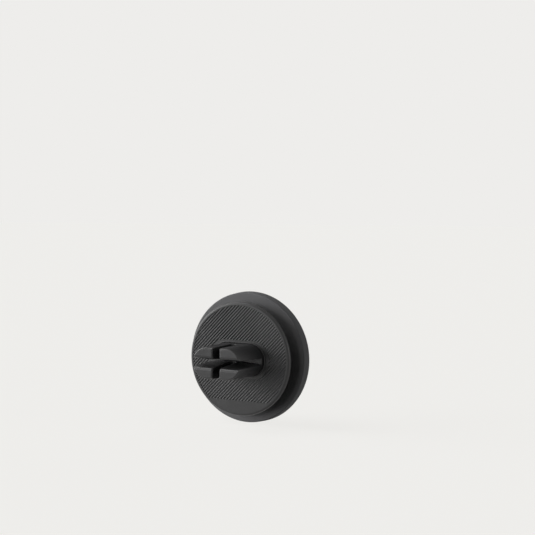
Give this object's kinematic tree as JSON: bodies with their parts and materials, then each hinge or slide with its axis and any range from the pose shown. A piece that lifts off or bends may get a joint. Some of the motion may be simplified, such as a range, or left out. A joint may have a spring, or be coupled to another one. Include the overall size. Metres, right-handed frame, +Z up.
{
  "type": "car vent phone mount",
  "caption": "Round magnetic phone puck on a ball joint, with a smaller ribbed disc behind it and a pronged rubber clip that grips a car's air vent blade.",
  "frame": {"origin": "centre of the puck's flat face that the phone sits on", "axes": "+Y out of the puck's face at the phone, +Z up, +X to the right seen from the vent; the clip points along -Y"},
  "size_m": [0.058, 0.0306, 0.058],
  "materials": {
    "silicone_pad": "matte silicone sheet",
    "adhesive_film": "clear pressure-sensitive film",
    "inner_plastic": "moulded, matte black",
    "screw_steel": "bright zinc plated",
    "magnet_nickel": "nickel plated",
    "puck_plastic": "moulded, fine satin grain",
    "bearing_plastic": "moulded acetal, natural",
    "collar_plastic": "moulded, matte black",
    "stud_steel": "turned, black oxide",
    "disc_plastic": "moulded, matte",
    "clip_rubber": "moulded, matte"
  },
  "bodies": {
    "vent_head": {"vent_clip": "clip_rubber", "ribbed_cover": "disc_plastic", "back_plate": "inner_plastic"},
    "stud": {"ball_stud": "stud_steel", "stud_washer": "screw_steel", "stud_screw": "screw_steel"},
    "liner": {"ball_liner": "bearing_plastic"},
    "puck": {"phone_pad": "silicone_pad", "pad_adhesive": "adhesive_film", "face_plate": "inner_plastic", "face_screws": "screw_steel", "magnet_carrier": "inner_plastic", "ring_magnets": "magnet_nickel", "shunt_ring": "screw_steel", "puck_housing": "puck_plastic", "disc_spring": "screw_steel", "ball_seat": "bearing_plastic", "socket_collar": "collar_plastic"}
  },
  "joints": [
    {"name": "puck_spin", "type": "hinge", "parent": "vent_head", "child": "stud", "pos_m": [0, -0.0057, 0], "axis": [0, 1, 0], "continuous": true},
    {"name": "tilt_up_down", "type": "hinge", "parent": "stud", "child": "liner", "pos_m": [0, -0.0057, 0], "axis": [1, 0, 0], "range_deg": [-7, 7]},
    {"name": "tilt_sideways", "type": "hinge", "parent": "liner", "child": "puck", "pos_m": [0, -0.0057, 0], "axis": [0, 0, 1], "range_deg": [-7, 7]}
  ]
}
